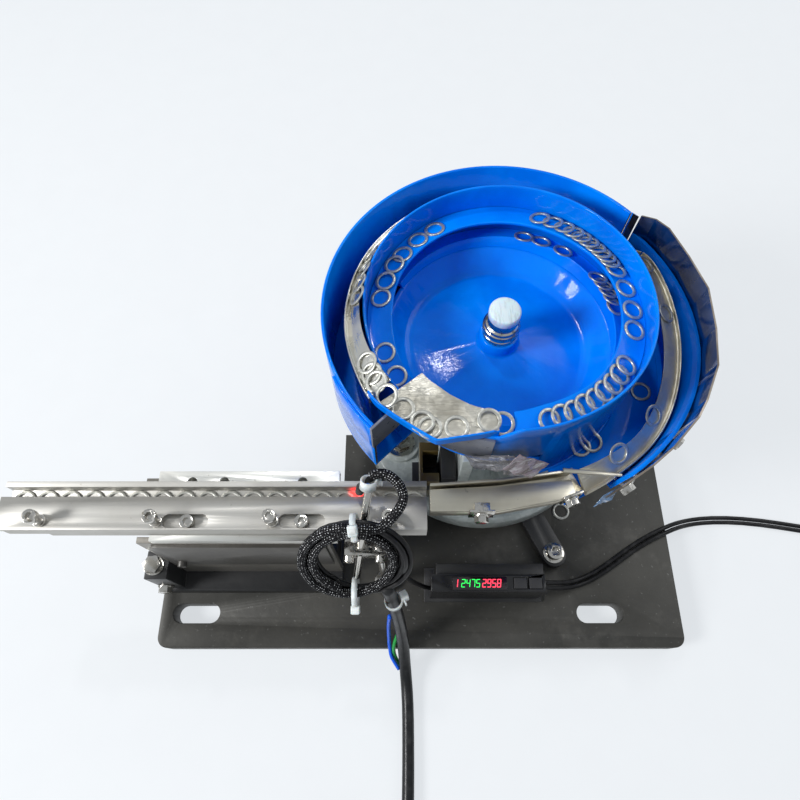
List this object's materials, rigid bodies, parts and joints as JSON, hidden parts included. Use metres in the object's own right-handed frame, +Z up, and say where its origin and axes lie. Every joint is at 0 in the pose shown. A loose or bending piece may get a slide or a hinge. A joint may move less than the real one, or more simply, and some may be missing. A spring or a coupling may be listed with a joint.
{
  "type": "vibratory bowl feeder",
  "caption": "Vibratory bowl feeder with spiral track, outer washer lane and sprung linear feed rail on a slotted steel base plate, with sensor and amplifier.",
  "frame": {"origin": "underside of the base plate, under the axis of the bowl", "axes": "+Z up, the feed rail runs along -X, the front edge of the base plate faces -Y"},
  "size_m": [0.5523, 0.47, 0.1891],
  "materials": {
    "plate_black": "blackened steel, blotchy",
    "drive_black": "black satin paint",
    "foot_rubber": "matte rubber",
    "casting_grey": "light grey hammered paint",
    "bright_steel": "bright zinc and nickel plate",
    "coil_tape": "winding under amber tape",
    "spring_steel": "blued leaf spring",
    "side_plate_grey": "grey brown paint",
    "cover_dark": "dark satin sheet",
    "amp_plastic": "black moulded plastic",
    "display_red": "dark window with lit digits",
    "nylon_white": "natural nylon",
    "cable_black": "black jacket and braid",
    "wire_blue": "coloured insulation",
    "washer_steel": "plain steel washer",
    "bowl_blue": "glossy blue coating",
    "polished_steel": "polished steel",
    "worn_steel": "worn bright steel",
    "clear_film": "crumpled clear film",
    "cap_clear": "translucent white cap",
    "rail_steel": "ground steel"
  },
  "bodies": {
    "base": {"base_plate": "plate_black", "anchor_bar": "drive_black", "drive_feet": "foot_rubber", "drive_base": "casting_grey", "base_fasteners": "bright_steel", "magnet_core": "drive_black", "magnet_coil": "coil_tape", "bowl_springs": "spring_steel", "lin_base": "drive_black", "lin_side_plates": "side_plate_grey", "lin_covers": "cover_dark", "lin_springs": "spring_steel", "lin_magnet": "coil_tape", "amp_body": "amp_plastic", "amp_window": "display_red", "amp_bracket": "amp_plastic", "sensor_rods": "bright_steel", "rod_clamp": "bright_steel", "sensor_head": "amp_plastic", "cable_ties": "nylon_white", "sensor_lead": "cable_black", "lead_coil": "cable_black", "amp_lead": "cable_black", "amp_coil": "cable_black", "power_cable": "cable_black", "power_coil": "cable_black", "lead_plugs": "amp_plastic", "inner_wires": "wire_blue", "stray_washer": "washer_steel"},
    "bowl": {"top_casting": "casting_grey", "armature_post": "casting_grey", "bowl_floor": "bowl_blue", "bowl_wall": "bowl_blue", "bowl_track": "bowl_blue", "transfer_plate": "polished_steel", "lane_left": "polished_steel", "lane_right": "worn_steel", "lane_skirt": "bowl_blue", "pan_floor": "bowl_blue", "pan_wall": "bowl_blue", "pan_cone": "bowl_blue", "guard": "bowl_blue", "front_band": "cover_dark", "film": "clear_film", "exit_channel": "worn_steel", "exit_cover": "worn_steel", "exit_clamps": "bright_steel", "centre_nut": "bright_steel", "centre_cap": "cap_clear", "bowl_washers": "washer_steel"},
    "rail": {"rail_bar": "rail_steel", "rail_cover": "rail_steel", "rail_screws": "bright_steel", "lin_top": "rail_steel", "rail_washers": "washer_steel"},
    "set_button": {"button_set": "amp_plastic"},
    "mode_button": {"button_mode": "amp_plastic"}
  },
  "joints": [
    {"name": "bowl_twist", "type": "hinge", "parent": "base", "child": "bowl", "pos_m": [0, 0, 0.118], "axis": [0, 0, 1], "range_deg": [-0.3, 0.3], "stiffness_Nm_per_rad": 150},
    {"name": "rail_shake", "type": "slide", "parent": "base", "child": "rail", "axis": [1, 0, 0], "range_m": [-0.0004, 0.0004], "stiffness_N_per_m": 20000},
    {"name": "set_press", "type": "slide", "parent": "base", "child": "set_button", "axis": [0, 0, -1], "range_m": [0, 0.0004], "stiffness_N_per_m": 400, "springref_m": -0.0005},
    {"name": "mode_press", "type": "slide", "parent": "base", "child": "mode_button", "axis": [0, 0, -1], "range_m": [0, 0.0004], "stiffness_N_per_m": 400, "springref_m": -0.0005}
  ]
}
